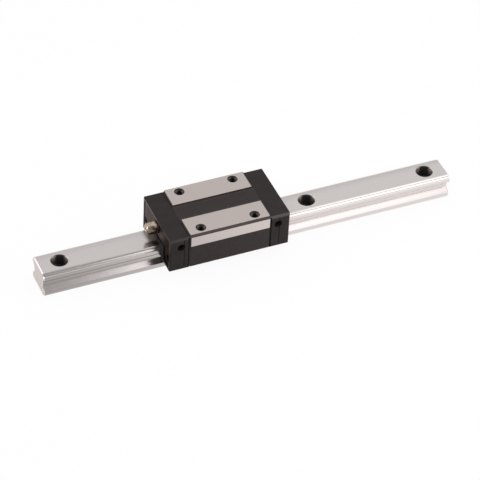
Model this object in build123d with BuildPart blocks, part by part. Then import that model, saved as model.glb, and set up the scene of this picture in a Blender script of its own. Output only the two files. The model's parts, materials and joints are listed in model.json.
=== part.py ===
"""Profile rail linear guide: a 15 mm rail with one low block on four recirculating ball rows.

Frame: X runs along the rail, Y across it, Z up. The origin is the centre of the rail's underside.
The near side is -Y, and the left end, which carries the grease nipple, is -X.
"""

import math
import os

from build123d import *

# Rail
rail_length = 200.0
rail_width = 15.0
rail_height = 12.5
rail_end_chamfer = 0.5
rail_base_chamfer = 0.7
base_side_height = 3.0
waist_width = 10.2
waist_bottom = 4.75
waist_top = 6.6
bolt_pitch = 60.0
bolt_end_margin = 8.0
bolt_bore = 4.5
counterbore_diameter = 7.5
counterbore_depth = 5.3
counterbore_chamfer = 0.35

# Balls and the raceways ground round them
ball_diameter = 3.175
groove_clearance = 0.06
row_from_axis = 7.25
row_middle_height = 10.17
row_spacing = 5.1
ball_play = 0.05

# Block
block_length = 39.0
block_width = 34.0
block_top = 24.0
block_bottom = 5.2
block_place = -14.8
block_end_chamfer = 0.5
relief_drop = 0.7
pad_inner_edge = 5.2
pad_chamfer_width = 0.75
pad_chamfer_height = 1.3
band_bottom = 17.55
band_step = 0.2
leg_chamfer = 0.5
ceiling_above_rail = 1.4
lobe_from_axis = 7.9
land_from_axis = 8.55
thread_bore = 3.3
thread_depth = 6.0
thread_mouth = 4.8
thread_spacing_along = 26.0
thread_spacing_across = 26.0
drill_point_half_angle = 59.0

# Ball return holes through the block, and the turns in the end caps
return_from_axis = 12.2
upper_return_height = 14.6
lower_return_height = 7.6
return_clearance = 0.16
turn_clearance = 0.11
guide_half_height = 1.8
guide_web_width = 1.9
guide_web_thickness = 1.2

# End caps
cap_length = 9.55
cap_width = 32.7
cap_top_below_block = 0.7
cap_edge_radius = 0.5
seam_gap_width = 0.7
seam_gap_depth = 0.6
seam_gap_foot = 0.3
seam_gap_below_cap_top = 0.7
cap_rail_gap = 0.45
seal_recess_depth = 1.2
seal_recess_border = 1.1
seal_recess_corner = 1.0
side_port_diameter = 3.7
side_port_depth = 3.0
side_port_from_block = 4.0
side_port_below_cap_top = 5.45
port_below_cap_top = 4.9
port_diameter = 4.0
port_collar_diameter = 5.7
port_collar_depth = 1.0
grease_slot_width = 1.2
grease_slot_depth = 1.0
parting_nearer = 2.5
parting_farther = 4.6
parting_width = 0.4
parting_depth = 0.3
parting_margin = 1.6

# Screws that hold each seal and cap on the block
screw_from_cap_side = 2.4
screw_height = 11.2
screw_diameter = 2.0
screw_head_diameter = 3.0
screw_head_height = 1.4
screw_head_sink = 3.2
screw_grip = 5.0
screw_hole_spare = 1.0
screw_socket_width = 1.3
screw_socket_depth = 0.7
screw_recess_clearance = 0.15

# Seals
seal_plate_thickness = 0.8
seal_plate_margin = 0.2
seal_opening_margin = 1.2
seal_opening_corner = 1.0
seal_lip_thickness = 1.3
seal_lip_gap = 0.2
bottom_seal_thickness = 0.4
bottom_seal_outer = 11.0
bottom_seal_inner = 5.75
bottom_seal_bead = 0.3
bottom_seal_bevel = 0.2

# Ball retainers
retainer_ball_clearance = 0.1
retainer_rail_gap = 0.25
tenon_length = 1.0
side_tenon_height = 0.8
side_tenon_width = 0.6
top_tenon_width = 10.0

# Grease nipple and port plug
nipple_hex_width = 4.8
nipple_reach = 5.3
nipple_nose_length = 0.7
nipple_nose_diameter = 3.4
nipple_root_sink = 0.7
nipple_shank_length = 4.6
nipple_inlet_diameter = 1.1
nipple_inlet_mouth = 2.0
nipple_chamber_diameter = 2.0
nipple_shoulder = 0.8
valve_ball_diameter = 1.5
valve_travel = 0.4
spring_wire = 0.2
spring_diameter = 1.3
spring_turns = 6
plug_length = 4.0
plug_sink = 0.4
plug_socket_width = 2.0
plug_socket_depth = 2.0

# Small clearance between pieces that are fitted together
fit_clearance = 0.05

# Worked out from the sizes above
bolt_count = math.floor((rail_length - 2 * bolt_end_margin) / bolt_pitch) + 1
rail_half = rail_width / 2
waist_half = waist_width / 2
ball_radius = ball_diameter / 2
groove_radius = ball_radius + groove_clearance
return_radius = ball_radius + return_clearance
turn_radius = ball_radius + turn_clearance
row_heights = {"upper": row_middle_height + row_spacing / 2, "lower": row_middle_height - row_spacing / 2}
return_heights = {"upper": upper_return_height, "lower": lower_return_height}
block_half = block_width / 2
block_floor = block_top - relief_drop
ceiling = rail_height + ceiling_above_rail
cap_half = cap_width / 2
cap_top = block_top - cap_top_below_block
port_height = cap_top - port_below_cap_top
screw_from_axis = cap_half - screw_from_cap_side
screw_places = ((screw_from_axis, screw_height), (-screw_from_axis, screw_height))
ends = {"left": -1, "right": 1}
sides = {"near": -1, "far": 1}


def block_face(end):
    """X of the block's end face on the left (-1) or the right (1)."""
    return block_place + end * block_length / 2


def cap_face(end):
    """X of an end cap's outer face."""
    return block_face(end) + end * cap_length


def ball_reach(radius, offset):
    """How far a circle round a ball row's centre reaches at this offset from the centre."""
    return math.sqrt(radius**2 - offset**2)


def groove_arc(start, end, row, angle, radius=groove_radius):
    """Raceway arc round a ball row, passing through the point at this angle."""
    centre = Vector(row_from_axis, row_heights[row])
    middle = centre + Vector(radius, 0).rotate(Axis.Z, angle)
    return ThreePointArc(start, middle, end)


def rail_section(growth=0.0):
    """The rail's cross-section, or the space around it grown by a running gap."""
    upper, lower = row_heights["upper"], row_heights["lower"]
    top_edge = (row_from_axis - ball_reach(groove_radius, upper - rail_height), rail_height)
    side_drop = ball_reach(groove_radius, row_from_axis - rail_half)
    with BuildSketch() as section:
        with BuildLine():
            Polyline(
                (0, 0),
                (rail_half - rail_base_chamfer, 0),
                (rail_half, rail_base_chamfer),
                (rail_half, base_side_height),
                (waist_half, waist_bottom),
                (waist_half, waist_top),
                (row_from_axis - groove_radius, lower),
            )
            groove_arc((row_from_axis - groove_radius, lower), (rail_half, lower + side_drop), "lower", 135)
            Line((rail_half, lower + side_drop), (rail_half, upper - side_drop))
            groove_arc((rail_half, upper - side_drop), top_edge, "upper", 225)
            Line(top_edge, (0, rail_height))
            mirror(about=Plane.YZ)
        make_face()
        if growth:
            offset(amount=growth, kind=Kind.INTERSECTION)
    return section.sketch


def block_section():
    """The block's cross-section: pads and relief on top, legs with both raceways inside."""
    upper, lower = row_heights["upper"], row_heights["lower"]
    lobe_drop = ball_reach(groove_radius, lobe_from_axis - row_from_axis)
    land_drop = ball_reach(groove_radius, land_from_axis - row_from_axis)
    ceiling_edge = (row_from_axis - ball_reach(groove_radius, ceiling - upper), ceiling)
    leg_side = block_half - band_step
    with BuildSketch() as section:
        with BuildLine():
            Polyline(
                (0, ceiling),
                ceiling_edge,
            )
            groove_arc(ceiling_edge, (land_from_axis, upper - land_drop), "upper", 45)
            Line((land_from_axis, upper - land_drop), (land_from_axis, lower + land_drop))
            lobe_edge = (lobe_from_axis, lower - lobe_drop)
            groove_arc((land_from_axis, lower + land_drop), lobe_edge, "lower", -45)
            Polyline(
                lobe_edge,
                (lobe_from_axis, block_bottom),
                (leg_side - leg_chamfer, block_bottom),
                (leg_side, block_bottom + leg_chamfer),
                (leg_side, band_bottom - band_step),
                (block_half, band_bottom),
                (block_half, block_top - pad_chamfer_height),
                (block_half - pad_chamfer_width, block_top),
                (pad_inner_edge, block_top),
                (pad_inner_edge, block_floor),
                (0, block_floor),
            )
            mirror(about=Plane.YZ)
        make_face()
    return section.sketch


def turn_plane(end, side, row):
    """Plane of one ball turn: X out of the block, Y from the loaded row to the return hole."""
    load = Vector(0, side * row_from_axis, row_heights[row])
    back = Vector(0, side * return_from_axis, return_heights[row])
    outward = Vector(end, 0, 0)
    middle = (load + back) / 2 + Vector(block_face(end), 0, 0)
    return Plane(origin=middle, x_dir=outward, z_dir=outward.cross(back - load))


def turn_path_radius(row):
    """Radius of the half circle that a ball's centre follows in an end cap."""
    return math.hypot(return_from_axis - row_from_axis, return_heights[row] - row_heights[row]) / 2


def circuit_points(side, row):
    """Centres of one circuit's balls, evenly spaced round its loop.

    There are as many as clear each other in the turns, where they lie closest.
    """
    path_radius = turn_path_radius(row)
    half_turn = math.pi * path_radius
    loop = 2 * block_length + 2 * half_turn
    closest = 2 * path_radius * math.asin((ball_radius + ball_play / 2) / path_radius)
    count = math.floor(loop / closest)
    points = []
    for index in range(count):
        travel = loop * (index + 0.5) / count
        if travel < block_length:
            points.append(Vector(block_face(-1) + travel, side * row_from_axis, row_heights[row]))
        elif travel < block_length + half_turn:
            turned = (travel - block_length) / path_radius
            local = (path_radius * math.sin(turned), -path_radius * math.cos(turned), 0)
            points.append(turn_plane(1, side, row).from_local_coords(Vector(*local)))
        elif travel < 2 * block_length + half_turn:
            gone = travel - block_length - half_turn
            points.append(Vector(block_face(1) - gone, side * return_from_axis, return_heights[row]))
        else:
            turned = (travel - 2 * block_length - half_turn) / path_radius
            local = (path_radius * math.sin(turned), path_radius * math.cos(turned), 0)
            points.append(turn_plane(-1, side, row).from_local_coords(Vector(*local)))
    return points


def make_rail():
    """Ground rail with counterbored bolt holes along its middle."""
    hole_plane = Plane.XY.offset(rail_height)
    with BuildPart() as rail:
        with BuildSketch(Plane.YZ.offset(-rail_length / 2)):
            add(rail_section())
        extrude(amount=rail_length)
        chamfer(rail.faces().filter_by(GeomType.PLANE).filter_by(Axis.X).edges(), rail_end_chamfer)
        with Locations(hole_plane):
            with GridLocations(bolt_pitch, 0, bolt_count, 1):
                CounterBoreHole(bolt_bore / 2, counterbore_diameter / 2, counterbore_depth)
        mouths = rail.edges().filter_by(GeomType.CIRCLE).filter_by(
            lambda edge: abs(edge.radius - counterbore_diameter / 2) < fit_clearance
        )
        chamfer(mouths.group_by(Axis.Z)[-1], counterbore_chamfer)
    return rail


def make_block():
    """Hardened steel block with raceways, ball return holes and tapped mounting holes."""
    point_height = thread_bore / 2 / math.tan(math.radians(drill_point_half_angle))
    mouth_depth = (thread_mouth - thread_bore) / 2
    return_centres = [
        (side * return_from_axis, return_heights[row]) for side in sides.values() for row in return_heights
    ]
    hang = (Align.CENTER, Align.CENTER, Align.MAX)
    leg_edge = block_half - band_step - leg_chamfer
    with BuildPart() as block:
        with BuildSketch(Plane.YZ.offset(block_face(-1))):
            add(block_section())
        extrude(amount=block_length)
        end_edges = block.edges().filter_by(Plane.YZ)
        chamfer(end_edges.filter_by(lambda edge: abs(edge.center().Y) > leg_edge), block_end_chamfer)
        with BuildSketch(Plane.YZ.offset(block_face(-1))):
            with Locations(*return_centres):
                Circle(return_radius)
        extrude(amount=block_length, mode=Mode.SUBTRACT)
        # Tapped holes: a bore with a drill point and a countersunk mouth
        with Locations(Plane((block_place, 0, block_top))):
            with GridLocations(thread_spacing_along, thread_spacing_across, 2, 2):
                Cylinder(thread_bore / 2, thread_depth, align=hang, mode=Mode.SUBTRACT)
                Cone(thread_bore / 2, thread_mouth / 2, mouth_depth, align=hang, mode=Mode.SUBTRACT)
        with Locations(Plane((block_place, 0, block_top - thread_depth))):
            with GridLocations(thread_spacing_along, thread_spacing_across, 2, 2):
                Cone(0, thread_bore / 2, point_height, align=hang, mode=Mode.SUBTRACT)
        for end in ends.values():
            with BuildSketch(Plane.YZ.offset(block_face(end))):
                with Locations(*screw_places):
                    Circle(screw_diameter / 2 + fit_clearance)
            extrude(amount=-end * (screw_grip + screw_hole_spare), mode=Mode.SUBTRACT)
    return block


def seal_outline(inset):
    """Outline of the seal recess in a cap's outer face, or of the plate that sits in it."""
    width = cap_width - 2 * (seal_recess_border + inset)
    bottom = block_bottom + seal_recess_border + inset
    top = cap_top - seal_recess_border - inset
    with BuildSketch() as outline:
        with Locations((0, (bottom + top) / 2)):
            RectangleRounded(width, top - bottom, seal_recess_corner)
    return outline.sketch


def seal_opening():
    """Opening in the seal plate over the rail, which the rubber lip fills."""
    half_width = rail_half + seal_opening_margin
    top = rail_height + seal_opening_margin
    with BuildSketch() as opening:
        with BuildLine():
            corners = ((half_width, 0), (half_width, top), (-half_width, top), (-half_width, 0))
            FilletPolyline(*corners, radius=seal_opening_corner)
            Line((-half_width, 0), (half_width, 0))
        make_face()
    return opening.sketch


def guide_shape(end, side, growth):
    """Solid outline of a ball return guide, or of its pocket when grown by a clearance."""
    web_bottom = (row_heights["lower"] + return_heights["lower"]) / 2
    web_top = (row_heights["upper"] + return_heights["upper"]) / 2
    web_centre = side * (row_from_axis + return_from_axis) / 2
    with BuildPart() as guide:
        for row in row_heights:
            reach = turn_path_radius(row) + growth
            with BuildSketch(turn_plane(end, side, row)):
                with BuildLine():
                    CenterArc((0, 0), reach, -90, 180)
                    Line((0, reach), (0, -reach))
                make_face()
            extrude(amount=guide_half_height + growth, both=True)
        with BuildSketch(Plane.YZ.offset(block_face(end))):
            with Locations((web_centre, (web_bottom + web_top) / 2)):
                Rectangle(guide_web_width + 2 * growth, web_top - web_bottom)
        extrude(amount=end * (guide_web_thickness + growth))
    return guide.part


def make_return_guide(end, side):
    """Plastic insert that forms the inside of both ball turns on one side of a cap."""
    outline = guide_shape(end, side, 0)
    with BuildPart() as guide:
        add(outline)
        for row in row_heights:
            with Locations(turn_plane(end, side, row)):
                Torus(turn_path_radius(row), turn_radius, mode=Mode.SUBTRACT)
        with BuildSketch(Plane.YZ.offset(block_face(end))):
            add(rail_section(cap_rail_gap))
        extrude(amount=end * cap_length, mode=Mode.SUBTRACT)
    return guide


def make_end_cap(end):
    """Moulded cap with ball turns, grease port, side ports, a seat for the seal and gaps at its seam."""
    inner, outer = block_face(end), cap_face(end)
    recess_floor = outer - end * seal_recess_depth
    slot_reach = (row_from_axis + return_from_axis) / 2
    seam_gap_height = cap_top - block_bottom - seam_gap_foot - seam_gap_below_cap_top
    cap_middle = (block_bottom + cap_top) / 2
    guide_pockets = [guide_shape(end, side, fit_clearance) for side in sides.values()]
    with BuildPart() as cap:
        with BuildSketch(Plane.YZ.offset(inner)):
            with Locations((0, cap_middle)):
                Rectangle(cap_width, cap_top - block_bottom)
        extrude(amount=end * cap_length)
        top_edges = cap.edges().filter_by(Axis.X).group_by(Axis.Z)[-1]
        outer_face = cap.faces().sort_by(Axis.X)[0 if end < 0 else -1]
        rim = outer_face.edges().filter_by(lambda edge: edge.center().Z > block_bottom)
        fillet(top_edges + rim, cap_edge_radius)
        with BuildSketch(Plane.YZ.offset(inner)):
            add(rail_section(cap_rail_gap))
        extrude(amount=end * cap_length, mode=Mode.SUBTRACT)
        with BuildSketch(Plane.YZ.offset(recess_floor)):
            add(seal_outline(0))
        extrude(amount=end * seal_recess_depth, mode=Mode.SUBTRACT)
        add(guide_pockets, mode=Mode.SUBTRACT)
        for side in sides.values():
            for row in row_heights:
                with Locations(turn_plane(end, side, row)):
                    Torus(turn_path_radius(row), turn_radius, mode=Mode.SUBTRACT)
            port_plane = Plane(
                (inner + end * side_port_from_block, side * cap_half, cap_top - side_port_below_cap_top),
                x_dir=(1, 0, 0), z_dir=(0, -side, 0),
            )
            with BuildSketch(port_plane):
                Circle(side_port_diameter / 2)
            extrude(amount=side_port_depth, mode=Mode.SUBTRACT)
            # The same moulding serves both ends, so its parting line lies nearer the block on one side
            parting_x = inner + end * (parting_nearer if end == side else parting_farther)
            with BuildSketch(port_plane):
                with Locations(port_plane.to_local_coords(Vector(parting_x, side * cap_half, cap_middle))):
                    Rectangle(parting_width, cap_top - block_bottom - 2 * parting_margin)
            extrude(amount=parting_depth, mode=Mode.SUBTRACT)
            with BuildSketch(Plane.YZ.offset(inner)):
                with Locations((side * cap_half, block_bottom + seam_gap_foot)):
                    Rectangle(2 * seam_gap_depth, seam_gap_height, align=(Align.CENTER, Align.MIN))
            extrude(amount=end * seam_gap_width, mode=Mode.SUBTRACT)
        # Grease port with its collar, and the slots that feed the upper turns
        with BuildSketch(Plane.YZ.offset(inner)):
            with Locations((0, port_height)):
                Circle(port_diameter / 2 + fit_clearance)
        extrude(amount=end * cap_length, mode=Mode.SUBTRACT)
        with BuildSketch(Plane.YZ.offset(recess_floor - end * port_collar_depth)):
            with Locations((0, port_height)):
                Circle(port_collar_diameter / 2)
        extrude(amount=end * cap_length, mode=Mode.SUBTRACT)
        with BuildSketch(Plane.YZ.offset(inner)):
            with Locations((0, port_height)):
                Rectangle(2 * slot_reach + grease_slot_width, grease_slot_width)
            with Locations((slot_reach, port_height), (-slot_reach, port_height)):
                Rectangle(
                    grease_slot_width, port_height - upper_return_height,
                    align=(Align.CENTER, Align.MAX),
                )
        extrude(amount=end * grease_slot_depth, mode=Mode.SUBTRACT)
        # Screw holes with sunk seats for the heads
        with BuildSketch(Plane.YZ.offset(inner)):
            with Locations(*screw_places):
                Circle(screw_diameter / 2 + fit_clearance)
        extrude(amount=end * cap_length, mode=Mode.SUBTRACT)
        with BuildSketch(Plane.YZ.offset(outer - end * screw_head_sink)):
            with Locations(*screw_places):
                Circle(screw_head_diameter / 2 + screw_recess_clearance)
        extrude(amount=end * screw_head_sink, mode=Mode.SUBTRACT)
        # Sockets for the retainers' tenons
        with BuildSketch(Plane.YZ.offset(inner)):
            with Locations((0, ceiling)):
                Rectangle(
                    top_tenon_width + 2 * fit_clearance, ceiling - rail_height,
                    align=(Align.CENTER, Align.MAX),
                )
            tenon_middle = land_from_axis - side_tenon_width / 2
            with Locations((tenon_middle, row_middle_height), (-tenon_middle, row_middle_height)):
                Rectangle(side_tenon_width + 2 * fit_clearance, side_tenon_height + 2 * fit_clearance)
        extrude(amount=end * (tenon_length + fit_clearance), mode=Mode.SUBTRACT)
    return cap


def make_side_retainer(side):
    """Strip between the upper and lower rows, hollowed round the balls, with a tenon at each end."""
    radius = ball_radius + retainer_ball_clearance
    inner, outer = rail_half + retainer_rail_gap, land_from_axis
    upper, lower = row_heights["upper"], row_heights["lower"]
    inner_reach = ball_reach(radius, inner - row_from_axis)
    outer_reach = ball_reach(radius, outer - row_from_axis)
    with BuildPart() as retainer:
        with BuildSketch(Plane.YZ.offset(block_face(-1))):
            with BuildLine():
                groove_arc((inner, lower + inner_reach), (outer, lower + outer_reach), "lower", 70, radius)
                Line((outer, lower + outer_reach), (outer, upper - outer_reach))
                groove_arc((outer, upper - outer_reach), (inner, upper - inner_reach), "upper", -70, radius)
                Line((inner, upper - inner_reach), (inner, lower + inner_reach))
            make_face()
            if side < 0:
                mirror(about=Plane.YZ, mode=Mode.REPLACE)
        extrude(amount=block_length)
        with BuildSketch(Plane.YZ.offset(block_face(-1) - tenon_length)):
            with Locations((side * (outer - side_tenon_width / 2), row_middle_height)):
                Rectangle(side_tenon_width, side_tenon_height)
        extrude(amount=block_length + 2 * tenon_length)
    return retainer


def make_top_retainer():
    """Plate under the block's ceiling that keeps both upper rows in when the rail is out."""
    radius = ball_radius + retainer_ball_clearance
    bottom = rail_height + retainer_rail_gap
    upper = row_heights["upper"]
    low_edge = (row_from_axis - ball_reach(radius, bottom - upper), bottom)
    high_edge = (row_from_axis - ball_reach(radius, ceiling - upper), ceiling)
    tenon_bottom = rail_height + cap_rail_gap
    with BuildPart() as retainer:
        with BuildSketch(Plane.YZ.offset(block_face(-1))):
            with BuildLine():
                Line((0, bottom), low_edge)
                groove_arc(low_edge, high_edge, "upper", 150, radius)
                Line(high_edge, (0, ceiling))
                mirror(about=Plane.YZ)
            make_face()
        extrude(amount=block_length)
        with BuildSketch(Plane.YZ.offset(block_face(-1) - tenon_length)):
            with Locations((0, (tenon_bottom + ceiling) / 2)):
                Rectangle(top_tenon_width, ceiling - tenon_bottom)
        extrude(amount=block_length + 2 * tenon_length)
    return retainer


def make_seal_plate(end):
    """Thin steel plate that carries the end seal's lip and sits in the cap's recess."""
    floor = cap_face(end) - end * seal_recess_depth
    with BuildPart() as plate:
        with BuildSketch(Plane.YZ.offset(floor)):
            add(seal_outline(seal_plate_margin))
            add(seal_opening(), mode=Mode.SUBTRACT)
            with Locations((0, port_height)):
                Circle(port_collar_diameter / 2, mode=Mode.SUBTRACT)
            with Locations(*screw_places):
                Circle(screw_head_diameter / 2 + screw_recess_clearance, mode=Mode.SUBTRACT)
        extrude(amount=end * seal_plate_thickness)
    return plate


def make_seal_lip(end):
    """Rubber lip that follows the rail's section, bonded to the inner edge of its plate."""
    floor = cap_face(end) - end * seal_recess_depth
    lip_bottom = block_bottom + seal_recess_border + seal_plate_margin
    with BuildPart() as lip:
        with BuildSketch(Plane.YZ.offset(floor)):
            add(seal_opening())
            add(rail_section(seal_lip_gap), mode=Mode.SUBTRACT)
            with Locations((0, lip_bottom)):
                Rectangle(cap_width, rail_height, align=(Align.CENTER, Align.MAX), mode=Mode.SUBTRACT)
        extrude(amount=end * seal_lip_thickness)
    return lip


def make_bottom_seal(side):
    """Dust strip under one leg, with a bead towards the rail that also keeps the lower balls in."""
    bottom = block_bottom - bottom_seal_thickness
    bead_top = block_bottom + bottom_seal_bead
    bead_edge = lobe_from_axis - fit_clearance
    with BuildPart() as seal:
        with BuildSketch(Plane.YZ.offset(block_face(-1))):
            with BuildLine():
                Polyline(
                    (bottom_seal_inner, bottom),
                    (bottom_seal_outer, bottom),
                    (bottom_seal_outer, block_bottom),
                    (bead_edge, block_bottom),
                    (bead_edge, bead_top),
                    (bottom_seal_inner + bottom_seal_bevel, bead_top),
                    (bottom_seal_inner, bead_top - bottom_seal_bevel),
                    close=True,
                )
            make_face()
            if side < 0:
                mirror(about=Plane.YZ, mode=Mode.REPLACE)
        extrude(amount=block_length)
    return seal


def make_ball_circuit(side, row):
    """Balls of one circuit: the loaded row, the return hole and both turns."""
    with BuildPart() as balls:
        with Locations(*circuit_points(side, row)):
            Sphere(ball_radius)
    return balls


def make_cap_screws(end):
    """Pair of socket screws through one cap into the block."""
    seat = cap_face(end) - end * screw_head_sink
    shank_end = block_face(end) - end * screw_grip
    head_top = seat + end * screw_head_height
    with BuildPart() as screws:
        with BuildSketch(Plane.YZ.offset(shank_end)):
            with Locations(*screw_places):
                Circle(screw_diameter / 2)
        extrude(amount=seat - shank_end)
        with BuildSketch(Plane.YZ.offset(seat)):
            with Locations(*screw_places):
                Circle(screw_head_diameter / 2)
        extrude(amount=end * screw_head_height)
        with BuildSketch(Plane.YZ.offset(head_top)):
            with Locations(*screw_places):
                RegularPolygon(screw_socket_width / 2, 6, major_radius=False)
        extrude(amount=-end * screw_socket_depth, mode=Mode.SUBTRACT)
    return screws


def make_grease_nipple():
    """Hexagon nipple screwed into the left cap, bored through for the check valve."""
    face = cap_face(-1)
    tip, root = face - nipple_reach, face + nipple_root_sink
    nose_start = tip + nipple_nose_length
    corner_radius = nipple_hex_width / math.sqrt(3)
    inlet_end = tip + nipple_shoulder
    with BuildPart() as nipple:
        with BuildSketch(Plane.YZ.offset(root)):
            with Locations((0, port_height)):
                RegularPolygon(nipple_hex_width / 2, 6, major_radius=False)
        extrude(amount=tip - root)
        # Turned nose: the hexagon's corners run out into a cone
        with BuildSketch(Plane((0, 0, port_height), x_dir=(1, 0, 0), z_dir=(0, -1, 0))):
            with BuildLine():
                Polyline(
                    (tip, 0),
                    (tip, nipple_nose_diameter / 2),
                    (nose_start, corner_radius),
                    (root, corner_radius),
                    (root, 0),
                    close=True,
                )
            make_face()
        revolve(axis=Axis((0, 0, port_height), (1, 0, 0)), mode=Mode.INTERSECT)
        with BuildSketch(Plane.YZ.offset(root)):
            with Locations((0, port_height)):
                Circle(port_diameter / 2)
        extrude(amount=nipple_shank_length)
        # Inlet, its mouth and the valve chamber
        with BuildSketch(Plane((0, 0, port_height), x_dir=(1, 0, 0), z_dir=(0, -1, 0))):
            with BuildLine():
                Polyline(
                    (tip, 0),
                    (tip, nipple_inlet_mouth / 2),
                    (tip + (nipple_inlet_mouth - nipple_inlet_diameter) / 2, nipple_inlet_diameter / 2),
                    (inlet_end, nipple_inlet_diameter / 2),
                    (inlet_end, nipple_chamber_diameter / 2),
                    (root + nipple_shank_length - nipple_shoulder, nipple_chamber_diameter / 2),
                    (root + nipple_shank_length - nipple_shoulder, nipple_inlet_diameter / 2),
                    (root + nipple_shank_length, nipple_inlet_diameter / 2),
                    (root + nipple_shank_length, 0),
                    close=True,
                )
            make_face()
        revolve(axis=Axis((0, 0, port_height), (1, 0, 0)), mode=Mode.SUBTRACT)
    return nipple


def valve_ball_x():
    """X of the check ball's centre when it sits in the inlet's edge."""
    seat = cap_face(-1) - nipple_reach + nipple_shoulder
    return seat + ball_reach(valve_ball_diameter / 2, nipple_inlet_diameter / 2) + fit_clearance / 5


def make_valve_ball():
    """Check ball that closes the nipple's inlet."""
    with BuildPart() as ball:
        with Locations((valve_ball_x(), 0, port_height)):
            Sphere(valve_ball_diameter / 2)
    return ball


def make_valve_spring():
    """Coil spring that presses the check ball on its seat."""
    start = valve_ball_x() + valve_ball_diameter / 2 + spring_wire
    chamber_end = cap_face(-1) + nipple_root_sink + nipple_shank_length - nipple_shoulder
    coil_radius = (spring_diameter - spring_wire) / 2
    height = chamber_end - spring_wire / 2 - fit_clearance - start
    with BuildPart() as spring:
        with BuildLine():
            coil = Helix(
                height / spring_turns, height, coil_radius,
                center=(start, 0, port_height), direction=(1, 0, 0),
            )
        with BuildSketch(Plane(origin=coil @ 0, z_dir=coil % 0)):
            Circle(spring_wire / 2)
        sweep(is_frenet=True)
    return spring


def make_port_plug():
    """Headless socket screw that closes the right cap's grease port."""
    outer = cap_face(1) - seal_recess_depth - port_collar_depth + plug_sink
    with BuildPart() as plug:
        with BuildSketch(Plane.YZ.offset(outer - plug_length)):
            with Locations((0, port_height)):
                Circle(port_diameter / 2)
        extrude(amount=plug_length)
        with BuildSketch(Plane.YZ.offset(outer)):
            with Locations((0, port_height)):
                RegularPolygon(plug_socket_width / 2, 6, major_radius=False)
        extrude(amount=-plug_socket_depth, mode=Mode.SUBTRACT)
    return plug


def save(piece, name):
    """Label a finished piece and write it as its own STEP file."""
    piece.part.label = name
    export_step(piece.part, f"parts/{name}.step")


os.makedirs("parts", exist_ok=True)

save(make_rail(), "guide_rail")
save(make_block(), "carriage_block")
save(make_top_retainer(), "top_retainer")
save(make_grease_nipple(), "grease_nipple")
save(make_valve_ball(), "nipple_check_ball")
save(make_valve_spring(), "nipple_spring")
save(make_port_plug(), "grease_port_plug")
for end_name, end in ends.items():
    save(make_end_cap(end), f"end_cap_{end_name}")
    save(make_cap_screws(end), f"cap_screws_{end_name}")
    save(make_seal_plate(end), f"end_seal_plate_{end_name}")
    save(make_seal_lip(end), f"end_seal_lip_{end_name}")
    for side_name, side in sides.items():
        save(make_return_guide(end, side), f"ball_return_guide_{end_name}_{side_name}")
for side_name, side in sides.items():
    save(make_side_retainer(side), f"side_retainer_{side_name}")
    save(make_bottom_seal(side), f"bottom_seal_{side_name}")
    for row in row_heights:
        save(make_ball_circuit(side, row), f"ball_circuit_{row}_{side_name}")
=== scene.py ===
import json
import math

import bmesh
import bpy
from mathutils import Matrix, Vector


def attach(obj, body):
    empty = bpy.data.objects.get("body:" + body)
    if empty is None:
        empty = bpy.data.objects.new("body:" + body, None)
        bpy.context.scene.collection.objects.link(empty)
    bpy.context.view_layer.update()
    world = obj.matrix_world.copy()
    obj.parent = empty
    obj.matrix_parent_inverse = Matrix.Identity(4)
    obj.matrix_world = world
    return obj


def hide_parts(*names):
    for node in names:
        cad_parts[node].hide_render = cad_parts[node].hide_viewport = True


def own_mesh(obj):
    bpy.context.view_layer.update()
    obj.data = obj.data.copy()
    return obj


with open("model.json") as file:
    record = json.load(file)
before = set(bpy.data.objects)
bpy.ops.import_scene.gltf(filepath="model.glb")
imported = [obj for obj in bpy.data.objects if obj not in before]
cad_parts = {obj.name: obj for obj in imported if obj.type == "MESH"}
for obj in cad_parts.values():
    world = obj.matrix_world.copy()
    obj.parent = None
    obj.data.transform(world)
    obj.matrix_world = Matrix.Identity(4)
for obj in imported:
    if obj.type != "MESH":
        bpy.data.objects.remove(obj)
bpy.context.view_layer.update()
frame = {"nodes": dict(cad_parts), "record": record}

print("frame loaded:", len(frame["nodes"]), "pieces")


class Wire:
    # one socket in an expression; every operator adds the Math node that works it out
    def __init__(self, graph, socket):
        self.graph = graph
        self.socket = socket

    def math(self, operation, *values):
        return self.graph.node("ShaderNodeMath", {"operation": operation}, dict(enumerate(values)))

    def out(self, name):
        # another output of the same node
        return Wire(self.graph, self.socket.node.outputs[name])

    def __add__(self, other):
        return self.math("ADD", self, other)

    __radd__ = __add__

    def __mul__(self, other):
        return self.math("MULTIPLY", self, other)

    __rmul__ = __mul__

    def __sub__(self, other):
        return self.math("SUBTRACT", self, other)

    def __rsub__(self, other):
        return self.math("SUBTRACT", other, self)

    def __truediv__(self, other):
        return self.math("DIVIDE", self, other)

    def __mod__(self, other):
        return self.math("FLOORED_MODULO", self, other)

    def __gt__(self, other):
        return self.math("GREATER_THAN", self, other)

    def __lt__(self, other):
        return self.math("LESS_THAN", self, other)

    def __abs__(self):
        return self.math("ABSOLUTE", self)

    def root(self):
        return self.math("SQRT", self)

    def most(self, other):
        return self.math("MAXIMUM", self, other)

    def between(self, low, high):
        # low where this is 0, high where it is 1
        return low + self * (high - low)

    def swing(self, share):
        # a noise about its middle, from -share to share
        return (self - 0.5) * (2 * share)

    def fade(self, start, end):
        # 0 at start, 1 at end, smooth between
        return self.graph.node(
            "ShaderNodeMapRange", {"interpolation_type": "SMOOTHSTEP"},
            {"Value": self, "From Min": start, "From Max": end},
        )


class Graph:
    def __init__(self, tree):
        self.tree = tree

    def node(self, kind, settings=None, sockets=None, output=0):
        made = self.tree.nodes.new(kind)
        for name, value in (settings or {}).items():
            setattr(made, name, value)
        for place, value in (sockets or {}).items():
            if isinstance(value, Wire):
                self.tree.links.new(value.socket, made.inputs[place])
            else:
                made.inputs[place].default_value = value
        return Wire(self, made.outputs[output])


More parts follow.
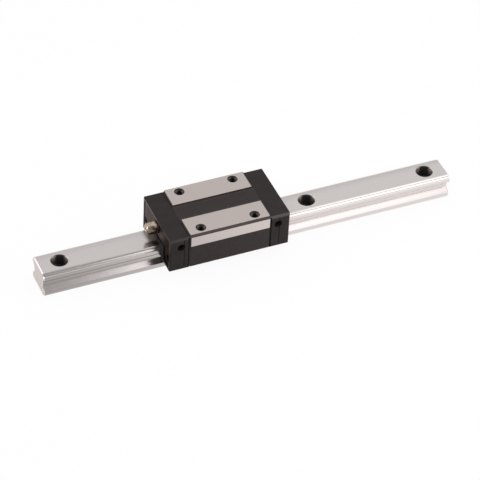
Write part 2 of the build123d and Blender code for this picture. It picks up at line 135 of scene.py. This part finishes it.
class Finish(Graph):
    # a material for one of this guide's surfaces, worked out on Object coordinates
    def __init__(self, name, **constants):
        self.material = bpy.data.materials.new(name)
        self.material.use_nodes = True
        super().__init__(self.material.node_tree)
        self.shader = self.tree.nodes["Principled BSDF"]
        for socket, value in constants.items():
            self.shader.inputs[socket.replace("_", " ")].default_value = value
        self.place = self.node("ShaderNodeTexCoord", output="Object")

    def stretched(self, perMillimetre):
        scale = [1000 * value for value in perMillimetre]
        return self.node("ShaderNodeMapping", sockets={"Vector": self.place, "Scale": scale})

    def axes(self):
        # x, y and z in millimetres
        parts = self.node("ShaderNodeSeparateXYZ", sockets={"Vector": self.stretched((1, 1, 1))})
        return parts.out("X"), parts.out("Y"), parts.out("Z")

    def noise(self, perMillimetre, detail=2.0, roughness=0.5):
        return self.node(
            "ShaderNodeTexNoise",
            sockets={
                "Vector": self.stretched(perMillimetre), "Scale": 1.0,
                "Detail": detail, "Roughness": roughness,
            },
        )

    def blend(self, factor, low, high):
        # 6, 7 and output 2 are the Mix node's colours
        return self.node(
            "ShaderNodeMix", {"data_type": "RGBA"}, {0: factor, 6: shade(low), 7: shade(high)}, output=2
        )

    def tinted(self, colour, factor):
        # colour times a grey factor that changes over the surface
        grey = self.node("ShaderNodeCombineXYZ", sockets={0: factor, 1: factor, 2: factor})
        return self.node("ShaderNodeVectorMath", {"operation": "MULTIPLY"}, {0: colour, 1: grey})

    def reach(self, along, across, centre=(0, 0)):
        # distance from the centre
        along, across = along - centre[0], across - centre[1]
        return (along * along + across * across).root()

    def turned(self, along, across, side):
        # 1 in a hole's wall towards the given side, -1 opposite, 0 between
        return (along * side[0] + across * side[1]) / self.reach(along, across)

    def bump(self, height, depth):
        # depth in millimetres
        return self.node("ShaderNodeBump", sockets={"Height": height, "Distance": depth / 1000})

    def feed(self, **links):
        for socket, wire in links.items():
            self.tree.links.new(wire.socket, self.shader.inputs[socket.replace("_", " ")])
        return self.material


def shade(colour):
    if isinstance(colour, Wire):
        return colour
    return (*colour, 1.0)


def linked(name, data):
    # a new object in the scene
    made = bpy.data.objects.new(name, data)
    bpy.context.scene.collection.objects.link(made)
    return made


cameraView = {
    "place": (-0.37992, -0.81784, 0.79596),
    "turn": (48.418, -2.350, -22.699),
    "lens": 197.04,
    "sensor": 36.0,
    "clip": (0.05, 20.0),
}
studioLight = {
    "ambient": 0.84,
    "frontLevel": 0.40,  # how bright metal sees the room overhead and in front, behind it is 1
    "frontFade": (0.64, 0.30),
    "softboxes": [
        # place, target, size, radiance
        ((0.159, -0.09, 0.33), (0.159, -0.09, 0.0), (0.242, 0.42), 1.15),
        ((0.36, -0.50, 0.16), (0.06, 0.0, 0.01), (0.36, 0.30), 1.15),
        ((-0.60, 0.32, 0.31), (-0.05, 0.0, 0.02), (0.42, 0.24), 2.6),
        ((-0.487, 0.062, 0.045), (-0.047, 0.0, 0.018), (0.10, 0.10), 8.0),  # aimed at the nipple
    ],
}
studioFloor = {
    "size": 6.0,
    "drop": 0.0001,  # below the rail's underside
    "colour": (0.86, 0.86, 0.86),
    "cameraShare": 0.94,  # the rest takes the object's shadow
    "glossShare": 0.85,
    "glossLevels": (0.41, 1.12),  # painted shade and light: how bright metal sees the floor in front, darker on the left, brighter on the right
    "glossFade": (-0.12, 0.03),
    "glossFront": (-0.0070, -0.0095),
    "glossFrom": -0.1003,  # just past the rail's left end
}


def makeCamera(look):
    data = bpy.data.cameras.new("studioCamera")
    data.lens = look["lens"]
    data.sensor_width = look["sensor"]
    data.clip_start, data.clip_end = look["clip"]
    camera = linked("studioCamera", data)
    camera.location = look["place"]
    camera.rotation_euler = [math.radians(turn) for turn in look["turn"]]
    bpy.context.scene.camera = camera


def aimAt(place, target):
    # turns a lamp's -Z towards the target
    return (Vector(target) - Vector(place)).to_track_quat("-Z", "Y").to_euler()


def makeSoftbox(name, place, target, size, radiance):
    lamp = bpy.data.lights.new(name, "AREA")
    lamp.shape = "RECTANGLE"
    lamp.size, lamp.size_y = size
    lamp.energy = radiance * math.pi * size[0] * size[1]
    box = linked(name, lamp)
    box.location = place
    box.rotation_euler = aimAt(place, target)
    box.visible_camera = False


def makeLight(look):
    world = bpy.data.worlds.new("studioWorld")
    world.use_nodes = True
    bpy.context.scene.world = world
    graph = Graph(world.node_tree)
    ray = graph.node("ShaderNodeLightPath")
    clear = ray.out("Is Camera Ray").most(ray.out("Is Transmission Ray"))
    direction = graph.node("ShaderNodeTexCoord", output="Generated")
    towards = graph.node("ShaderNodeSeparateXYZ", sockets={0: direction})
    room = towards.out("Y").fade(*look["frontFade"]).between(1, look["frontLevel"])
    strength = look["ambient"] + (1 - look["ambient"]) * clear
    strength = strength + (room - look["ambient"]) * ray.out("Is Glossy Ray")
    background = world.node_tree.nodes["Background"]
    background.inputs["Color"].default_value = (1, 1, 1, 1)
    world.node_tree.links.new(strength.socket, background.inputs["Strength"])
    for number, softbox in enumerate(look["softboxes"]):
        makeSoftbox(f"softbox{number}", *softbox)


def floorMaterial(look):
    # a matt floor that the camera, metal and glass see as white, but for painted shade and light in front of
    # the rail that metal sees
    material = bpy.data.materials.new("studioFloor")
    material.use_nodes = True
    graph = Graph(material.node_tree)
    graph.tree.nodes.remove(graph.tree.nodes["Principled BSDF"])
    ray = graph.node("ShaderNodeLightPath")
    glossy = ray.out("Is Glossy Ray")
    clear = glossy.most(ray.out("Is Transmission Ray"))
    share = (ray.out("Is Camera Ray") * look["cameraShare"]).most(clear * look["glossShare"])
    place = graph.node("ShaderNodeTexCoord", output="Object")
    along = graph.node("ShaderNodeSeparateXYZ", sockets={0: place})
    front = along.out("Y").fade(*look["glossFront"]) * (along.out("X") > look["glossFrom"])
    inFront = along.out("X").fade(*look["glossFade"]).between(*look["glossLevels"])
    level = front.between(1, inFront)
    lit = graph.node("ShaderNodeBsdfDiffuse", sockets={"Color": shade(look["colour"])})
    white = graph.node(
        "ShaderNodeEmission", sockets={"Color": (1, 1, 1, 1), "Strength": glossy.between(1, level)}
    )
    mixed = graph.node("ShaderNodeMixShader", sockets={0: share, 1: lit, 2: white})
    graph.tree.links.new(mixed.socket, graph.tree.nodes["Material Output"].inputs["Surface"])
    return material


def makeFloor(look):
    half = look["size"] / 2
    corners = [(-half, -half), (half, -half), (half, half), (-half, half)]
    mesh = bpy.data.meshes.new("studioFloor")
    mesh.from_pydata([(x, y, -look["drop"]) for x, y in corners], [], [(0, 1, 2, 3)])
    mesh.materials.append(floorMaterial(look))
    floor = linked("studioFloor", mesh)


bpy.context.scene.view_settings.view_transform = "Standard"
makeCamera(cameraView)
makeLight(studioLight)
makeFloor(studioFloor)
print("camera, light and floor made")


# In the finishes, colours are linear and lengths in millimetres. A noise has its repeats per millimetre
# along, across and up, and a pair is mostly where a fade starts and where it is full.
railSteel = {
    "top": (0.565, 0.532, 0.522),
    "topFar": (0.517, 0.485, 0.478),
    "farFrom": (1.0, 5.5),
    "topHeight": 12.48,
    "side": (0.678, 0.630, 0.616),
    "roughness": 0.20,
    "end": (0.600, 0.533, 0.503),
    "endFace": 99.9,
    "endRoughness": 0.34,
    "streaks": (0.035, 7.0, 7.0),
    "streakShade": 0.035,
    "streakRoughness": 0.03,
    "grain": (0.9, 9.0, 9.0),
    "grainDepth": 0.004,
    # painted light: how much brighter the right half is painted
    "rightFrom": (10.0, 30.0),
    "topLift": 0.055,
    "topLiftAcross": (6.0, 3.0),
    "edgeLift": 0.36,
    "edgeLiftAcross": (-5.8, -6.6),
    "bandLifts": [(3.55, 5.6, 0.07), (10.7, 12.48, 0.22)],  # painted light in the flare and land: foot, top and share
    "footLift": 0.20,
    "footLiftUp": (1.4, 0.7),
    # the bolt holes
    "boltPitch": 60.0,
    "firstBolt": 90.0,  # left of the rail's middle
    "mouth": 4.13,
    "mouthDepth": 0.03,
    "counterbore": 3.96,
    "darkRim": 0.22,  # how far the wall's painted shade reaches into the rim on its far side
    "darkRimSide": (0.60, 0.95),
    # painted shade: the holes' walls dark and unmetallic
    "wall": (0.032, 0.027, 0.025),
    "rim": (0.42, 0.38, 0.36),
    "holeRoughness": 0.45,
    # painted highlight in the walls on two sides, brighter towards the mouth, blotchy
    "gleam": (0.48, 0.41, 0.37),
    "gleamSide": (0.419, 0.908),
    "gleamStart": (0.95, 0.70),
    "gleamEnd": (0.12, 0.50),
    "gleamUp": (9.0, 12.3),
    "gleamLow": 0.3,
    "stain": (0.55, 0.55, 0.9),
    "stainFade": (0.3, 0.7),
    "stainLow": 0.5,
}


def groundRailSteel(look):
    # ground along its length, with dark bolt holes
    steel = Finish("groundRailSteel", Metallic=1.0)
    x, y, z = steel.axes()
    streaks = steel.noise(look["streaks"], detail=3.0)
    grain = steel.noise(look["grain"])
    onTop = z > look["topHeight"]
    onEnd = abs(x) > look["endFace"]
    top = steel.blend(y.fade(*look["farFrom"]), look["top"], look["topFar"])
    ground = steel.blend(onEnd, steel.blend(onTop, look["side"], top), look["end"])

    # painted light on the right half: on top, along the near edge, in the flare and land and at the foot
    onEdge = y.fade(*look["edgeLiftAcross"])
    lift = onTop * (y.fade(*look["topLiftAcross"]) * look["topLift"] + onEdge * look["edgeLift"])
    for foot, head, share in look["bandLifts"]:
        lift = lift + (z > foot) * (z < head) * share
    lift = lift + z.fade(*look["footLiftUp"]) * look["footLift"]
    lift = lift * x.fade(*look["rightFrom"]) * (1 - onEnd)
    ground = steel.tinted(ground, (1 + streaks.swing(look["streakShade"])) * (1 + lift))

    # the holes, a bolt pitch apart, their walls painted dark as shade, with a blotchy painted gleam in the
    # wall on two sides
    halfPitch = look["boltPitch"] / 2
    alongHole = (x + look["firstBolt"] + halfPitch) % look["boltPitch"] - halfPitch
    fromHole = steel.reach(alongHole, y)
    turned = steel.turned(alongHole, y, look["gleamSide"])
    rim = look["counterbore"] + look["darkRim"] * turned.fade(*look["darkRimSide"])
    inHole = (fromHole < look["mouth"]) * (z < look["topHeight"] - look["mouthDepth"])
    stain = steel.noise(look["stain"]).fade(*look["stainFade"])
    gleam = abs(turned).fade(*look["gleamStart"]) * abs(turned).fade(*look["gleamEnd"])
    gleam = gleam * stain.between(look["stainLow"], 1) * z.fade(*look["gleamUp"]).between(look["gleamLow"], 1)
    wall = steel.blend(gleam, look["wall"], look["gleam"])
    hole = steel.blend(fromHole > rim, wall, look["rim"])

    roughness = onEnd.between(look["roughness"], look["endRoughness"])
    roughness = roughness + streaks.swing(look["streakRoughness"])
    return steel.feed(
        Base_Color=steel.blend(inHole, ground, hole),
        Roughness=roughness + inHole * (look["holeRoughness"] - look["roughness"]),
        Metallic=1 - inHole,
        Normal=steel.bump(grain + streaks, look["grainDepth"]),
    )


blockSteel = {
    "middle": -14.8,
    # bare and ground: pads on top, bands on the sides, raceways inside
    "pad": (0.505, 0.445, 0.425),
    "padHeight": 23.985,
    "padReach": 19.15,
    "padRoughness": 0.33,
    "band": (0.610, 0.540, 0.518),
    "bandSide": 16.985,
    "rowFromAxis": 7.25,
    "rowHeights": (12.72, 7.62),
    "raceway": 1.70,
    "grain": (0.25, 6.0, 6.0),
    "grainShade": 0.05,
    # blackened all over the rest
    "black": (0.0215, 0.0145, 0.0135),
    "blackRoughness": 0.42,
    "specular": 0.22,
    "rubbed": (0.055, 0.045, 0.042),
    "rubbedFade": (0.35, 0.75),
    "rubbedShare": 0.25,
    "mottle": (0.9, 0.9, 0.9),
    "mottleRoughness": 0.05,
    "skinDepth": 0.006,
    "relief": (0.052, 0.043, 0.041),  # painted light in the channel between the pads, lifting the shade towards its walls
    "reliefAcross": (3.1, 5.1),
    "reliefHeight": 22.0,
    "reliefSide": 5.22,
    # painted light: the upper side chamfers lighter than the black, as light falls on them
    "chamfer": (0.066, 0.052, 0.049),
    "chamferFoot": 22.72,
    "chamferSide": 16.27,
    "end": (0.060, 0.053, 0.050),
    "endFace": 19.45,
    # the tapped bores, on a square with half its side given
    "boreFromMiddle": 13.0,
    "boreReach": 2.02,
    "boreHeights": (17.0, 23.6),
    "bore": (0.022, 0.018, 0.017),
    # painted highlight in the bores' walls on two sides
    "gleam": (0.115, 0.098, 0.092),
    "gleamSide": (0.419, 0.908),
    "gleamFade": (0.96, 0.72),
}


def blackenedBlockSteel(look):
    # black, with its running and mounting faces ground bare
    steel = Finish("blackenedBlockSteel", Specular_IOR_Level=look["specular"])
    x, y, z = steel.axes()
    grain = steel.noise(look["grain"], detail=3.0)
    mottle = steel.noise(look["mottle"], detail=4.0, roughness=0.6)
    fromMiddle = abs(x - look["middle"])
    onTop = z > look["padHeight"]
    ground = (onTop * (fromMiddle < look["padReach"])).most(abs(y) > look["bandSide"])
    for height in look["rowHeights"]:
        ground = ground.most(steel.reach(abs(y), z, (look["rowFromAxis"], height)) < look["raceway"])
    bright = steel.tinted(
        steel.blend(onTop, look["band"], look["pad"]), 1 + grain.swing(look["grainShade"])
    )

    inRelief = (z > look["reliefHeight"]) * (abs(y) < look["reliefSide"])
    dull = steel.blend(abs(y).fade(*look["reliefAcross"]) * inRelief, look["black"], look["relief"])
    dull = steel.blend(mottle.fade(*look["rubbedFade"]) * look["rubbedShare"], dull, look["rubbed"])
    onChamfer = (z > look["chamferFoot"]) * (abs(y) > look["chamferSide"])
    dull = steel.blend(onChamfer, dull, look["chamfer"])
    dull = steel.blend(fromMiddle > look["endFace"], dull, look["end"])

    # the nearest bore's axis is at 0, 0
    halfSquare = look["boreFromMiddle"]
    along = (x - look["middle"]) % (2 * halfSquare) - halfSquare
    across = y % (2 * halfSquare) - halfSquare
    foot, mouth = look["boreHeights"]
    inBore = (steel.reach(along, across) < look["boreReach"]) * (z > foot) * (z < mouth)
    gleam = abs(steel.turned(along, across, look["gleamSide"])).fade(*look["gleamFade"])
    bore = steel.blend(gleam, look["bore"], look["gleam"])

    roughness = ground.between(look["blackRoughness"], look["padRoughness"])
    return steel.feed(
        Base_Color=steel.blend(inBore, steel.blend(ground, dull, bright), bore),
        Roughness=roughness + mottle.swing(look["mottleRoughness"]),
        Metallic=ground,
        Normal=steel.bump(grain * ground + mottle * (1 - ground), look["skinDepth"]),
    )


capPlastic = {
    "middle": -14.8,
    "colour": (0.0235, 0.0185, 0.0180),
    "worn": (0.0285, 0.0230, 0.0225),
    "flow": (0.12, 0.4, 0.4),
    "flowFade": (0.35, 0.8),
    "specular": 0.10,
    "roughness": 0.38,
    "flowRoughness": 0.06,
    "spark": (5.0, 5.0, 5.0),
    "sparkRoughness": 0.04,
    "sparkDepth": 0.012,
    # the border round the seal plate, with painted light towards the far side and top and painted shade,
    # darkest low on the near side
    "border": (0.120, 0.108, 0.104),
    "borderDark": (0.0150, 0.0122, 0.0118),
    "borderFace": 27.8,
    "borderSide": 15.95,
    "borderTop": 22.9,
    "rimFace": 28.6,
    "borderAcross": (-18.0, 16.0),
    "borderUp": (14.0, 21.0),
    "borderTopShare": 0.25,
    # painted highlight along the upper edges of the sides, speckled
    "edge": (0.092, 0.083, 0.082),
    "edgeSide": (15.9, 16.3),
    "edgeTop": (21.0, 22.2),
    "edgeAlong": (-81.0, 13.0),
    "edgeSpark": (0.7, 1.3),
}


def blackCapPlastic(look):
    # moulded, with a painted highlight along its upper edges, and painted light and shade on the border round
    # the seal plate
    plastic = Finish("blackCapPlastic", Specular_IOR_Level=look["specular"])
    x, y, z = plastic.axes()
    spark = plastic.noise(look["spark"], detail=3.0, roughness=0.65)
    flow = plastic.noise(look["flow"])
    skin = plastic.blend(flow.fade(*look["flowFade"]), look["colour"], look["worn"])
    rubbed = abs(y).fade(*look["edgeSide"]) * z.fade(*look["edgeTop"]) * x.fade(*look["edgeAlong"])
    skin = plastic.blend(rubbed * spark.between(*look["edgeSpark"]), skin, look["edge"])
    fromMiddle = abs(x - look["middle"])
    onFace = (fromMiddle > look["borderFace"]) * (abs(y) < look["borderSide"])
    onBorder = onFace.most(fromMiddle > look["rimFace"]) * (z < look["borderTop"])
    lit = y.fade(*look["borderAcross"]).most(z.fade(*look["borderUp"]) * look["borderTopShare"])
    border = plastic.blend(lit, look["borderDark"], look["border"])
    return plastic.feed(
        Base_Color=plastic.blend(onBorder, skin, border),
        Roughness=look["roughness"] + flow.swing(look["flowRoughness"]) + spark.swing(look["sparkRoughness"]),
        Normal=plastic.bump(spark, look["sparkDepth"]),
    )


sealPlate = {
    "bare": (0.078, 0.066, 0.059),
    "oiled": (0.018, 0.015, 0.014),
    "bareAcross": (-2.0, 6.0),
    "oilAcross": (-16.0, -5.0),
    "oilUp": (9.0, 19.0),
    "cleanWander": (0.75, 1.25),
    # painted light lifting the plate below the nipple, where its shade falls
    "sheen": (0.135, 0.115, 0.106),
    "sheenPlace": (-3.5, 14.8),
    "sheenReach": (8.0, 2.5),
    "sheenSide": 1.0,
    # painted light along the far edge
    "strip": (0.200, 0.178, 0.170),
    "stripAcross": (12.6, 14.2),
    # painted shade low on the near side
    "foot": (0.006, 0.005, 0.005),
    "footUp": (9.5, 6.5),
    # painted shade round each port, where the nipple's root sits in its recess, and in a dot at the left
    # one's top
    "ring": (0.004, 0.004, 0.004),
    "ringReach": 3.0,
    "portHeight": 18.4,
    "dotPlace": (1.65, 21.2),
    "dotReach": 0.75,
    "specularTint": (0.62, 0.57, 0.55),
    "roughness": 0.36,
    "ringRoughness": 0.3,  # more than on the plate
    "wander": (0.2, 0.2, 0.2),
    "wanderRoughness": 0.1,
    "grain": (2.5, 2.5, 2.5),
    "grainDepth": 0.003,
}


def darkSealPlate(look):
    # coated steel with painted shade on the near side, darkest at the foot, a painted sheen in it and painted
    # light in a strip along the far edge; painted shade in a black ring round each port, and in a dot at the
    # left one's top
    plate = Finish("darkSealPlate", Metallic=1.0, Specular_Tint=shade(look["specularTint"]))
    x, y, z = plate.axes()
    grain = plate.noise(look["grain"], detail=3.0, roughness=0.6)
    wander = plate.noise(look["wander"])
    clean = y.fade(*look["bareAcross"]).most(y.fade(*look["oilAcross"]) * z.fade(*look["oilUp"]))
    skin = plate.blend(clean * wander.between(*look["cleanWander"]), look["oiled"], look["bare"])
    sheen = plate.reach(y, z, look["sheenPlace"]).fade(*look["sheenReach"])
    skin = plate.blend(sheen * (y < look["sheenSide"]), skin, look["sheen"])
    skin = plate.blend(y.fade(*look["stripAcross"]), skin, look["strip"])
    skin = plate.blend(z.fade(*look["footUp"]) * (y < 0), skin, look["foot"])
    inRing = plate.reach(y, z, (0, look["portHeight"])) < look["ringReach"]
    onDot = (plate.reach(y, z, look["dotPlace"]) < look["dotReach"]) * (x < 0)
    inRing = inRing.most(onDot)
    roughness = look["roughness"] + wander.swing(look["wanderRoughness"])
    return plate.feed(
        Base_Color=plate.blend(inRing, skin, look["ring"]),
        Roughness=roughness + inRing * look["ringRoughness"],
        Normal=plate.bump(grain, look["grainDepth"]),
    )


sealRubber = {
    "colour": (0.015, 0.014, 0.014),
    "bloom": (0.026, 0.025, 0.025),
    "specular": 0.2,
    "roughness": 0.62,
    "grain": (3.0, 3.0, 3.0),
    "grainDepth": 0.008,
}
retainerPlastic = {
    "colour": (0.03, 0.03, 0.031),
    "bloom": (0.05, 0.05, 0.051),
    "specular": 0.4,
    "roughness": 0.45,
    "grain": (1.5, 4.0, 4.0),
    "grainDepth": 0.006,
}
screwSteel = {
    "colour": (0.015, 0.014, 0.014),
    "bloom": (0.04, 0.037, 0.035),
    "specular": 0.4,
    "roughness": 0.38,
    "grain": (2.0, 2.0, 2.0),
    "grainDepth": 0.004,
}
skinWander = {
    "coarser": 12,  # than the grain
    "bloomFade": (0.3, 0.75),
    "roughness": 0.1,
}


def wanderingSkin(name, look, wander):
    # a dull skin whose tone and gloss wander a little
    skin = Finish(name, Specular_IOR_Level=look["specular"])
    grain = skin.noise(look["grain"], detail=3.0, roughness=0.6)
    broad = skin.noise([value / wander["coarser"] for value in look["grain"]], detail=1.0)
    return skin.feed(
        Base_Color=skin.blend(broad.fade(*wander["bloomFade"]), look["colour"], look["bloom"]),
        Roughness=look["roughness"] + broad.swing(wander["roughness"]),
        Normal=skin.bump(grain, look["grainDepth"]),
    )


nippleBrass = {
    "colour": (0.50, 0.41, 0.33),
    "tarnish": (0.30, 0.23, 0.165),
    "tarnishFade": (0.3, 0.7),
    "metal": 0.9,
    "roughness": 0.15,
    "grain": (1.2, 1.2, 1.2),
    "grainRoughness": 0.1,
    "turning": (9.0, 0.6, 0.6),
    "turningDepth": 0.006,
    # painted shade near the seal plate, low down
    "root": (0.150, 0.108, 0.080),
    "rootAlong": (-46.8, -44.6),
    "rootUp": (20.2, 18.8),
    # a dull, unmetallic spot on the top facet near the root, its lighter look painted light
    "dull": (0.52, 0.435, 0.35),
    "dullMetal": 0.15,
    "dullAlong": (-46.0, -45.1),
    "dullEnd": (-44.15, -44.5),
    "dullUp": (19.6, 20.4),
}


def nippleMetal(look):
    brass = Finish("nippleBrass")
    x, _, z = brass.axes()
    grain = brass.noise(look["grain"], detail=4.0, roughness=0.6)
    turning = brass.noise(look["turning"])
    skin = brass.blend(grain.fade(*look["tarnishFade"]), look["tarnish"], look["colour"])
    skin = brass.blend(x.fade(*look["rootAlong"]) * z.fade(*look["rootUp"]), skin, look["root"])
    dull = x.fade(*look["dullAlong"]) * x.fade(*look["dullEnd"]) * z.fade(*look["dullUp"])
    return brass.feed(
        Base_Color=brass.blend(dull, skin, look["dull"]),
        Metallic=dull.between(look["metal"], look["dullMetal"]),
        Roughness=look["roughness"] + grain.swing(look["grainRoughness"]),
        Normal=brass.bump(turning, look["turningDepth"]),
    )


ballSteel = {
    "colour": (0.72, 0.72, 0.73),
    "roughness": 0.06,
    "haze": (1.5, 1.5, 1.5),
    "hazeFade": (0.3, 0.7),
    "hazeShade": 0.93,
    "hazeRoughness": 0.06,
}
springSteel = {**ballSteel, "colour": (0.56, 0.55, 0.53), "roughness": 0.22}


def polishedSteel(name, look):
    steel = Finish(name, Metallic=1.0)
    haze = steel.noise(look["haze"])
    hazy = [value * look["hazeShade"] for value in look["colour"]]
    return steel.feed(
        Base_Color=steel.blend(haze.fade(*look["hazeFade"]), look["colour"], hazy),
        Roughness=look["roughness"] + haze * look["hazeRoughness"],
    )


finishes = {
    "ground_rail_steel": groundRailSteel(railSteel),
    "blackened_block_steel": blackenedBlockSteel(blockSteel),
    "black_cap_plastic": blackCapPlastic(capPlastic),
    "dark_seal_plate": darkSealPlate(sealPlate),
    "seal_rubber": wanderingSkin("sealRubber", sealRubber, skinWander),
    "retainer_plastic": wanderingSkin("retainerPlastic", retainerPlastic, skinWander),
    "guide_plastic": wanderingSkin("guidePlastic", retainerPlastic, skinWander),
    "black_screw_steel": wanderingSkin("blackScrewSteel", screwSteel, skinWander),
    "nipple_brass": nippleMetal(nippleBrass),
    "ball_steel": polishedSteel("ballSteel", ballSteel),
    "spring_steel": polishedSteel("springSteel", springSteel),
}
for part in frame["record"]["subparts"]:
    node = frame["nodes"][part["node"]]
    node.data.materials.clear()
    node.data.materials.append(finishes[part["material_slot"]])
print("finishes set:", len(finishes))


def weldedPiece(name, node, look):
    # the node's shape as a piece of its own, its double points joined and each flat stretch made one face
    mesh = frame["nodes"][node].data.copy()
    mesh.name = name
    work = bmesh.new()
    work.from_mesh(mesh)
    bmesh.ops.remove_doubles(work, verts=work.verts, dist=look["weld"])
    bmesh.ops.dissolve_limit(
        work, angle_limit=math.radians(look["flatAngle"]), verts=work.verts, edges=work.edges
    )
    work.to_mesh(mesh)
    work.free()
    return linked(name, mesh)


def applyModifiers(piece):
    # keeps the mesh as its modifiers make it, without them
    bpy.context.view_layer.update()
    evaluated = piece.evaluated_get(bpy.context.evaluated_depsgraph_get())
    plain = bpy.data.meshes.new_from_object(evaluated)
    piece.modifiers.clear()
    piece.data = plain


def smooth(mesh, crispAngle):
    # smooth all over but for edges sharper than the angle
    mesh.polygons.foreach_set("use_smooth", [True] * len(mesh.polygons))
    mesh.set_sharp_from_angle(angle=math.radians(crispAngle))


nippleShape = {
    "weld": 0.000001,  # metres, as all lengths of the pieces from here on
    "flatAngle": 1.5,
    "edgeWidth": 0.0001,
    "edgeAngle": 28.0,
    "crispAngle": 20.0,
}


def bevelledNipple(look):
    # the CAD nipple with its sharp edges broken, as turning and handling leave them
    nipple = weldedPiece("bevelledNipple", "grease_nipple", look)
    bevel = nipple.modifiers.new("edges", "BEVEL")
    bevel.width = look["edgeWidth"]
    bevel.segments = 1
    bevel.limit_method = "ANGLE"
    bevel.angle_limit = math.radians(look["edgeAngle"])
    applyModifiers(nipple)
    smooth(nipple.data, look["crispAngle"])
    return nipple


nipple = bevelledNipple(nippleShape)
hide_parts("grease_nipple")
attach(nipple, "carriage")
print("nipple's edges broken:", len(nipple.data.polygons), "faces")


valveSpring = {
    "weld": 0.000001,
    "flatAngle": 0.1,
    "crispAngle": 40.0,
    "fixedEnd": (-0.0394, 0.0, 0.0184),
    "press": 0.0004,  # as far as the check ball goes in
}


def pressedSpring(look):
    # the CAD spring once more, as a piece of its own
    spring = weldedPiece("pressedSpring", "nipple_spring", look)
    smooth(spring.data, look["crispAngle"])
    return spring


spring = pressedSpring(valveSpring)
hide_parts("nipple_spring")
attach(spring, "carriage")
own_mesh(spring)
print("spring set to follow the check ball:", len(spring.data.polygons), "faces")


mountThreads = {
    "spacing": 0.026,
    "middle": (-0.0148, 0.0),
    "top": 0.02318,  # where the countersink ends
    "length": 0.0049,
    "pitch": 0.0007,
    "bore": 0.00163,
    "ridge": 0.00024,
    "ridgeCorners": 3,
    "steps": 22,  # in one turn
}


def threadTree(look):
    # a coil with a three-cornered section, set in the four corners of a square
    tree = bpy.data.node_groups.new("mountThreads", "GeometryNodeTree")
    tree.interface.new_socket("Geometry", in_out="OUTPUT", socket_type="NodeSocketGeometry")
    for name in ("spacing", "length", "pitch", "bore", "ridge"):
        socket = tree.interface.new_socket(name, in_out="INPUT", socket_type="NodeSocketFloat")
        socket.default_value = look[name]
    tree.interface.new_socket("finish", in_out="INPUT", socket_type="NodeSocketMaterial")
    graph = Graph(tree)
    sizes = graph.node("NodeGroupInput")
    coil = graph.node(
        "GeometryNodeCurveSpiral", sockets={
            "Resolution": look["steps"], "Rotations": sizes.out("length") / sizes.out("pitch"),
            "Height": sizes.out("length"),
            "Start Radius": sizes.out("bore"), "End Radius": sizes.out("bore"),
        },
    )
    section = graph.node(
        "GeometryNodeCurvePrimitiveCircle",
        sockets={"Resolution": look["ridgeCorners"], "Radius": sizes.out("ridge")},
    )
    ridge = graph.node(
        "GeometryNodeCurveToMesh", sockets={"Curve": coil, "Profile Curve": section, "Fill Caps": True}
    )
    square = graph.node(
        "GeometryNodeMeshGrid", sockets={
            "Size X": sizes.out("spacing"), "Size Y": sizes.out("spacing"), "Vertices X": 2, "Vertices Y": 2,
        },
    )
    corners = graph.node("GeometryNodeInstanceOnPoints", sockets={"Points": square, "Instance": ridge})
    placed = graph.node(
        "GeometryNodeTransform", sockets={
            "Geometry": graph.node("GeometryNodeRealizeInstances", sockets={"Geometry": corners}),
            "Translation": (*look["middle"], look["top"] - look["length"]),
        },
    )
    painted = graph.node(
        "GeometryNodeSetMaterial", sockets={"Geometry": placed, "Material": sizes.out("finish")}
    )
    tree.links.new(painted.socket, tree.nodes.new("NodeGroupOutput").inputs[0])
    return tree


def mountThreadRidges(look):
    ridges = linked("mountThreads", bpy.data.meshes.new("mountThreads"))
    coils = ridges.modifiers.new("coils", "NODES")
    coils.node_group = threadTree(look)
    finish = next(item for item in coils.node_group.interface.items_tree if item.name == "finish")
    coils[finish.identifier] = finishes["blackened_block_steel"]
    applyModifiers(ridges)
    return ridges


threads = mountThreadRidges(mountThreads)
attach(threads, "carriage")
print("threads cut:", len(threads.data.polygons), "faces")
